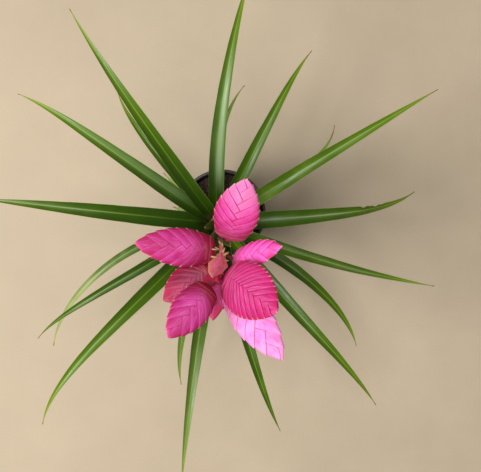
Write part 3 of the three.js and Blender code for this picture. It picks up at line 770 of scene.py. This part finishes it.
def body_height(spike, x, y, share):
    """Half the thickness of the spike's lens-shaped body."""
    half = spike_half_width(spike, x) + BODY_MARGIN
    return crest_at(spike, share) * np.sqrt(np.maximum(0, 1 - (y / half) ** 2))


def spike_values(along, across, rank, draw):
    along = np.ravel(along)
    return {
        "along": along, "across": np.ravel(across), "rank": np.full(len(along), rank),
        "seed": np.full(len(along), draw.uniform(0, VEIN_RANGE))}


def sheath_shell(spike, reach, lift, rank, draw):
    """A cup round the spike's foot: rings out to its free edge, then back inside it."""
    turn = around(SHEATH_SIDES)
    across, above = -np.cos(turn), np.sin(turn)
    slant, belly = draw.uniform(-1, 1), mix(*SHEATH_BELLIES, rank / SHEATHS[-1][2])
    waves = SHEATH_WAVE * np.sin(SHEATH_WAVES * turn + rank)
    edge = reach * spike.length + slant * across + belly * (1 - across**2) + waves
    outward = np.linspace(0.02, 1, SHEATH_ROWS)
    inward = np.linspace(0.99, 0.3, SHEATH_ROWS // 3)
    share = np.concatenate([outward, inward])
    shrink = np.concatenate([0 * outward, 0 * inward + BRACT_THICKNESS])[:, None]
    x = share[:, None] * edge
    round_off = np.sqrt(1 - (1 - np.minimum(x / FOOT_RADIUS, 1)) ** 2)
    rim = (spike_half_width(spike, x) + 0.5 * lift) * round_off - shrink
    y = rim * across
    height = crest_at(spike, 0) * np.sqrt(np.maximum(0, 1 - 0.9 * across**2)) + LIFT * lift - shrink
    z = height * round_off * np.sign(above) * np.abs(above) ** 0.7
    points = np.stack([x, y, z], -1)[:, ::-1]
    share = np.repeat(share, SHEATH_SIDES)
    values = spike_values(0.9 * share, share, rank, draw)
    return points.reshape(-1, 3), loft_faces(len(points), SHEATH_SIDES), values


def folded(flat, height):
    """Rows from the edge of a folded sheet's back face over its fold to the edge of its front face."""
    back, front = (np.concatenate([flat, sign * height[..., None]], -1) for sign in (-1, 1))
    return np.concatenate([back[:, ::-1], front[:, 1:]], 1)


def bract_shell(spike, k, draw):
    """One folded bract: its fold lies on the spike's rim, and its two free edges cross the
    spike's middle, one on each face. Rings run from its foot to its tip."""
    rank = k / (spike.bracts - 1)
    hand = 1 if k % 2 == 0 else -1
    tip_x = spike.length * mix(FIRST_TIP, LAST_TIP, rank**CROWDING) + draw.uniform(-TIP_STRAY, TIP_STRAY)
    tip_y = float(spike_half_width(spike, tip_x))
    slant = mix(LOW_SLANT, HIGH_SLANT, rank**SLANT_GROWTH)
    crossing_x = tip_x - slant * tip_y
    cross = CROSS + CROSS_GROWTH * spike.length / (spike.bracts - 1) / slant
    cross = min(cross, WRAP * float(spike_half_width(spike, crossing_x)))
    inner_x = crossing_x - slant * cross
    start_x = max(FIRST_START + START_STEP * k, inner_x - REACH_BACK)
    inner_share = np.clip((inner_x - start_x) / (tip_x - start_x), *HIDDEN_RANGE)
    hidden = np.linspace(0, inner_share, HIDDEN_ROWS + 1)[:-1]
    u = np.concatenate([hidden, np.linspace(inner_share, LAST_ROW, BRACT_ROWS - HIDDEN_ROWS)])

    # The fold, inside the bracts before it at first and proud of the rim at the tip
    point = min(1, tip_y / SMALL_TIP)
    x = mix(start_x, tip_x + AHEAD, u)
    rim = spike_half_width(spike, x)
    out = smooth((u - OUT_FROM) / (1 - OUT_FROM))
    rim = np.maximum(rim + mix(-INSET, PROUD * point, out), LEAST_RIM)
    fold = np.stack([x, rim * (0.1 + 0.9 * smooth((u + 0.1) / 0.5))], -1)

    # The free edge, hidden until it crosses the middle on its way to the tip
    tip = np.array([tip_x + AHEAD, tip_y + PROUD * point])
    inner = np.array([inner_x, -cross])
    reach = tip - inner
    normal = np.array([reach[1], -reach[0]])
    swell = mix(LOW_BULGE, HIGH_BULGE, rank) + draw.uniform(-BULGE_STRAY, BULGE_STRAY)
    shoulder = inner + SHOULDER * reach + swell * normal
    end = mix(inner, tip, EDGE_END)
    rows = [0, HIDDEN_ROWS, HIDDEN_ROWS + SHOULDER_ROWS, BRACT_ROWS - 1]
    free = bent_line([(start_x, -FOOT_CROSS * cross), inner, shoulder, end], rows)

    # The two faces, over the spike's lens-shaped body. Each rises like a shingle towards its
    # free edge, and dives under the bract before it past the middle.
    t = 1 - np.cos(0.5 * np.pi * np.linspace(0, 1, BRACT_HALF_COLUMNS))
    t = 0.5 * t + 0.5 * np.linspace(0, 1, BRACT_HALF_COLUMNS)
    span = np.linalg.norm(free - fold, axis=1)[:, None]
    flat = fold[:, None] + (free - fold)[:, None] * t[:, None]
    body = body_height(spike, flat[..., 0], flat[..., 1], rank)
    rounding = np.sqrt(1 - (1 - np.minimum(t * span / FOLD_RADIUS, 1)) ** 2)
    behind = (inner - flat) @ normal / np.linalg.norm(normal)
    under = np.maximum(0, DIVE_MARGIN - cross - flat[..., 1])
    lift = LIFT * (1 - behind / LIFT_REACH) - DIVE * under
    puff = PUFF * np.sin(np.pi * t) * np.minimum(1, span / PUFF_SPAN)
    waver = WAVER * wander(5 * u, draw.random())[:, None] * t
    outer = np.maximum(body + lift + puff + waver, 0.5) * rounding
    inward = unit(free - fold)[:, None] * BRACT_THICKNESS * (1 - t)[:, None]
    lining = folded(flat + inward, np.maximum(outer - BRACT_THICKNESS, 0))
    rings = np.concatenate([folded(flat, outer), lining[:, ::-1]], 1) * [1, hand, 1]
    columns = np.concatenate([-t[::-1], t[1:]])
    across = np.tile(np.concatenate([columns, columns[::-1]]), BRACT_ROWS)
    faces = loft_faces(BRACT_ROWS, rings.shape[1])
    values = spike_values(np.repeat(u / u[-1], rings.shape[1]), across, rank, draw)
    return rings.reshape(-1, 3), faces if hand > 0 else faces[:, ::-1], values


def core_shell(spike, draw):
    """The spike's inside, behind its bracts. Past them it is the closed bud."""
    share = np.linspace(0, 1, CORE_ROWS)[:, None]
    turn = around(CORE_SIDES)
    x = mix(CORE_START, spike.length + 0.5 * AHEAD, 1 - (1 - share) ** 1.3)
    bare = smooth((x / spike.length - BUD_FROM) / BUD_OVER)
    rim = np.maximum(spike_half_width(spike, x) - mix(CORE_INSET, 0.3, bare), 0.5)
    crest = body_height(spike, x, 0 * x, x / spike.length) * mix(CORE_SHARE, 1, bare)
    height = crest * np.sqrt(1 - 0.85 * share**12)
    z = height * np.sign(np.sin(turn)) * np.abs(np.sin(turn)) ** 0.8
    points = np.stack([x + 0 * turn, -rim * np.cos(turn), z], -1)[:, ::-1]
    across = mix(0.1, 0.62 + 0.2 * np.abs(np.sin(turn[::-1])), bare)
    values = spike_values(np.repeat(share, CORE_SIDES), across, CORE_RANK, draw)
    return points.reshape(-1, 3), loft_faces(CORE_ROWS, CORE_SIDES), values


def neck_shell(spike, axes):
    """The short neck from just clear of the stalk into the lowest bracts, in the spike's frame."""
    at, ahead, _, _, radius = (v[0] for v in stalk_frame(spike.along))
    run = spike.base - at
    reach = np.linalg.norm(run)
    run = run / reach
    cosine = abs(run.dot(ahead))
    sine = math.sqrt(1 - cosine**2)
    clear = (radius + GAP + NECK_RADIUS * cosine) / sine if spike.along < 1 else GAP + radius * sine
    side = unit(np.cross([0, 0, 1], run))
    path = at + run * np.linspace(clear, reach + NECK_SINK, NECK_ROWS)[:, None]
    sides, ups = (np.tile(v, (NECK_ROWS, 1)) for v in (side, np.cross(run, side)))
    points, faces, values = tube_shell(
        path, sides, ups, NECK_RADIUS, NECK_SIDES, along=0.2, rank=-0.5, seed=spike.along)
    return (points - spike.base) @ axes.T, faces, values


def add_spike(number, spike, material):
    along = np.subtract(spike.tip, spike.base) / spike.length
    up = unit(np.array([0, 0, 1.0]) - along * along[2])
    roll = math.radians(spike.roll)
    up = math.cos(roll) * up + math.sin(roll) * np.cross(along, up)
    axes = np.stack([along, np.cross(up, along), up])
    draw = random.Random(number)
    sheaths = [sheath_shell(spike, *sheath, draw) for sheath in SHEATHS]
    bracts = [bract_shell(spike, k, draw) for k in range(1, spike.bracts)]
    shells = [neck_shell(spike, axes), *sheaths, *bracts, core_shell(spike, draw)]
    points, faces, values = join(shells)
    points[:, 2] += spike.bend * np.maximum(0, points[:, 0] / spike.length) ** 2
    for key in ("tone", "warmth", "pale"):
        values[key] = np.full(len(points), getattr(spike, key))
    shell = (points @ axes + spike.base, faces, values)
    add_piece(f"spike_bracts_{number}", shell, material, f"flower_spike_{number}")


# Crown, potting mix and pot
def ring_shell(rings, sides, **values):
    """A closed turned shell over rings of (x, y, radius, z). values hold one number for each ring."""
    points = np.array([
        [(x + r * math.cos(a), y + r * math.sin(a), z) for a in around(sides)]
        for x, y, r, z in rings])
    spread = per_point(values, len(rings), sides)
    spread["across"] = np.tile(np.arange(sides) / sides, len(rings))
    return points, loft_faces(len(rings), sides), spread


def add_crown(material):
    """The crown. Its old leaf bases run up it like the steps of a screw."""
    heights = np.linspace(CROWN_NECK, CROWN_TOP, CROWN_ROWS)
    foot = [(0, 0, POLE_RADIUS, CROWN_FOOT), (0, 0, CROWN_FOOT_RADIUS, CROWN_FOOT + 0.4)]
    rings = [*foot, *((0, 0, crown_radius_at(z), z) for z in heights), (0, 0, POLE_RADIUS, CROWN_TOP)]
    points, faces, values = ring_shell(rings, CROWN_SIDES, along=np.linspace(0, 1, len(rings)))
    turn = around(CROWN_SIDES)
    for i, z in enumerate(heights, start=len(foot)):
        rounds = BASE_STARTS * turn / (2 * np.pi)
        place = np.mod(z / BASE_PITCH + rounds + BASE_SWAY * np.sin(3 * turn), 1)
        shrink = BASE_STEP * place * smooth((CROWN_TOP - z) / 3) * smooth((z - CROWN_BASE) / 3)
        points[i, :, :2] *= 1 - (shrink / crown_radius_at(z))[:, None]
    points = points[:, ::-1].reshape(-1, 3) + [*CROWN_AT, 0]
    add_piece("crown_leaf_bases", (points, faces, values), material, "crown")


def pot_radius_at(z):
    return mix(POT_BASE_RADIUS, RIM_RADIUS - RIM_STEP, z / POT_HEIGHT)


def mix_top(x, y):
    lumps = np.sin(0.31 * x + 0.8) * np.cos(0.27 * y - 0.4) + 0.6 * np.sin(0.53 * y + 0.21 * x)
    return POT_HEIGHT - MIX_BELOW + MIX_RELIEF * 0.5 * lumps


def chip_shell(draw, x, y):
    """A flat splinter of bark that lies on the mix: a roughened box with its corners cut."""
    size = np.array([draw.uniform(low, high) for low, high in CHIP_SIZES])
    turn = around(CHIP_SIDES) + draw.uniform(0, 0.6)
    points = np.array([[(s * math.cos(a), s * math.sin(a), z) for a in turn] for s, z in CHIP_RINGS])
    points = points * np.array([
        [[draw.uniform(*CHIP_ROUGH) for _ in range(3)] for _ in turn] for _ in CHIP_RINGS])
    tilt = Euler((draw.gauss(0, 0.35), draw.gauss(0, 0.35), draw.uniform(0, math.pi))).to_matrix()
    points = (0.5 * size * points).reshape(-1, 3) @ np.array(tilt).T
    points = points + [x, y, float(mix_top(x, y)) + draw.uniform(0.1, 0.9)]
    none = np.zeros(len(points))
    values = {"across": none, "along": none, "tone": none + draw.uniform(0.1, 1.0)}
    return points[::-1], loft_faces(len(CHIP_RINGS), CHIP_SIDES), values


def add_potting_mix(material):
    top = POT_HEIGHT - MIX_BELOW
    foot_radius, top_radius = (
        pot_radius_at(z) - POT_WALL - MIX_GAP - MIX_SHRINK for z in (POT_FLOOR, top))
    hole, hole_foot, floor = CROWN_BASE_RADIUS + GAP, CROWN_FOOT - GAP, POT_FLOOR + MIX_GAP
    rings = [
        (*CROWN_AT, MIX_POLE_RADIUS, hole_foot),
        (*CROWN_AT, CROWN_FOOT_RADIUS + GAP, hole_foot),
        (*CROWN_AT, hole, CROWN_NECK)]
    first = len(rings)
    for t in np.linspace(0, 1, MIX_RINGS + 1):
        rings.append((*np.multiply(CROWN_AT, 1 - t), mix(hole, top_radius, t), top))
    rings += [
        (0, 0, top_radius, top - MIX_ROUND), (0, 0, foot_radius, floor), (0, 0, MIX_POLE_RADIUS, floor)]
    points, faces, values = ring_shell(rings, MIX_SIDES, along=0.0, tone=0.15)
    grid = points[first:first + MIX_RINGS + 1]
    crumbs = np.array([
        [noise.fractal(Vector((x, y, 0)) * CRUMB_PITCH, 0.6, 2.0, 4) for x, y, _ in row] for row in grid])
    grid[..., 2] = mix_top(grid[..., 0], grid[..., 1]) + CRUMB_RISE * crumbs - CRUMB_DROP
    draw = random.Random(CHIP_SEED)
    chips = []
    while len(chips) < CHIPS:
        reach = (top_radius - CHIP_CLEAR) * math.sqrt(draw.random())
        turn = draw.uniform(0, 2 * math.pi)
        x, y = reach * math.cos(turn), reach * math.sin(turn)
        if math.dist((x, y), CROWN_AT) > CROWN_BASE_RADIUS + CHIP_CLEAR:
            chips.append(chip_shell(draw, x, y))
    plug = (points.reshape(-1, 3), faces, values)
    add_piece("potting_mix_bark", join([plug, *chips]), material, "potting_mix")


def arc(x, z, radius, start, end, steps=6):
    """Points of a round corner in the pot's profile, from one heading in degrees to another."""
    turns = np.radians(np.linspace(start, end, steps))
    return [(x + radius * math.cos(a), z + radius * math.sin(a)) for a in turns]


def add_pot(material):
    band = POT_HEIGHT - RIM_BAND
    wall_top = RIM_RADIUS - RIM_STEP - POT_WALL
    foot, inner_foot = POT_BASE_RADIUS - POT_FOOT_ROUND, pot_radius_at(POT_FLOOR) - POT_WALL - 1
    grooves = [
        (pot_radius_at(z) - WALL_GROOVE_DEPTH * (abs(z - groove) < 0.9), z)
        for groove in WALL_GROOVES for z in (groove - 1.2, groove - 0.8, groove + 0.8, groove + 1.2)]
    rim_groove = [
        (RIM_RADIUS, POT_HEIGHT - 5),
        (RIM_RADIUS - RIM_GROOVE_DEPTH, POT_HEIGHT - 4.6),
        (RIM_RADIUS - RIM_GROOVE_DEPTH, POT_HEIGHT - 3.4),
        (RIM_RADIUS, POT_HEIGHT - 3)]
    profile = [
        (POLE_RADIUS, 0),
        (foot, 0),
        *arc(foot, POT_FOOT_ROUND, POT_FOOT_ROUND, -80, -5),
        *grooves,
        (pot_radius_at(band) - 0.1, band),
        (RIM_RADIUS - 1, band + 0.1),
        *arc(RIM_RADIUS - 0.8, band + 0.9, 0.8, -80, 0),
        *rim_groove,
        *arc(RIM_RADIUS - 1, POT_HEIGHT - 1, 1, 5, 90),
        *arc(wall_top + 1, POT_HEIGHT - 1, 1, 90, 175),
        (pot_radius_at(40) - POT_WALL, 40),
        *arc(inner_foot, POT_FLOOR + 1, 1, 0, -85),
        (POLE_RADIUS, POT_FLOOR)]
    z = np.array([z for _, z in profile])
    dust = 0.75 * smooth((10 - z) / 14) + 0.25 * smooth((z - 70) / 25)
    points, faces, values = ring_shell(
        [(0, 0, r, z) for r, z in profile], POT_SIDES, along=z / POT_HEIGHT, dust=dust)
    shell = (points[:, ::-1].reshape(-1, 3), faces, values)
    pot = add_piece("pot_moulded", shell, material, "pot")
    drills = []
    for turn in around(DRAIN_HOLES) + math.pi / DRAIN_HOLES:
        x, y = DRAIN_CIRCLE * math.cos(turn), DRAIN_CIRCLE * math.sin(turn)
        ends = [(x, y, DRAIN_RADIUS, -DRILL_REACH), (x, y, DRAIN_RADIUS, DRILL_REACH)]
        points, faces, _ = ring_shell(ends, DRILL_SIDES)
        drills.append((points[:, ::-1].reshape(-1, 3), faces, {}))
    drill = add_mesh("drain_drill", *join(drills)[:2])
    cut = pot.modifiers.new("drain_holes", "BOOLEAN")
    cut.object = drill
    cut.solver = "EXACT"
    whole = bpy.data.meshes.new_from_object(pot.evaluated_get(bpy.context.evaluated_depsgraph_get()))
    pot.modifiers.clear()
    pot.data = whole
    bpy.data.objects.remove(drill)


# Stage: floor, light and camera, with the lights and the camera in metres
FLOOR_SIZE = 6000
CAMERA_AT = Vector((0.0234, 0.0173, 0.9803))
CAMERA_TILT = math.radians(3)
FOCAL_PIXELS, FRAME_PIXELS, SENSOR = 700, 481, 36
SKY, SKY_STRENGTH, LAMP_WHITE = (1.0, 0.98, 0.95, 1), 0.22, (1.0, 0.985, 0.96)
LIGHTS_AIM = Vector((0, 0, 0.2))


def add_floor():
    end = 0.5 * FLOOR_SIZE
    corners = [(-end, -end, 0), (end, -end, 0), (end, end, 0), (-end, end, 0)]
    floor = add_mesh("floor", corners, [(0, 1, 2, 3)])
    floor.data.materials.append(floor_look())


def add_area_light(name, at, size, power):
    light = bpy.data.lights.new(name, "AREA")
    light.shape = "DISK"
    light.size = size
    light.energy = power
    light.color = LAMP_WHITE
    lamp = add_object(name, light)
    lamp.location = at
    lamp.rotation_euler = (LIGHTS_AIM - Vector(at)).to_track_quat("-Z", "Y").to_euler()


def add_light():
    world = bpy.data.worlds.new("studio")
    world.use_nodes = True
    sky = world.node_tree.nodes["Background"]
    sky.inputs["Color"].default_value = SKY
    sky.inputs["Strength"].default_value = SKY_STRENGTH
    bpy.context.scene.world = world
    add_area_light("side_softbox", (-1.5, -0.3, 1.9), 1.0, 55)
    add_area_light("overhead_softbox", (-0.35, 0.2, 2.9), 1.2, 36)


def add_camera():
    camera = bpy.data.cameras.new("camera")
    camera.sensor_width = SENSOR
    camera.lens = FOCAL_PIXELS / FRAME_PIXELS * SENSOR
    eye = add_object("camera", camera)
    eye.location = CAMERA_AT
    eye.rotation_euler = (-CAMERA_TILT, 0, 0)
    bpy.context.scene.camera = eye


add_camera()
add_light()
add_floor()
bpy.context.scene.view_settings.view_transform = "Standard"

leaf_green = leaf_look()
for rank, leaf in enumerate(LEAVES):
    add_leaf(rank, leaf, leaf_green)
add_stalk(stalk_look())
bract_pink = bract_look()
for i, spike in enumerate(SPIKES):
    add_spike(i + 1, spike, bract_pink)
add_crown(crown_look())
add_potting_mix(mix_look())
add_pot(pot_look())
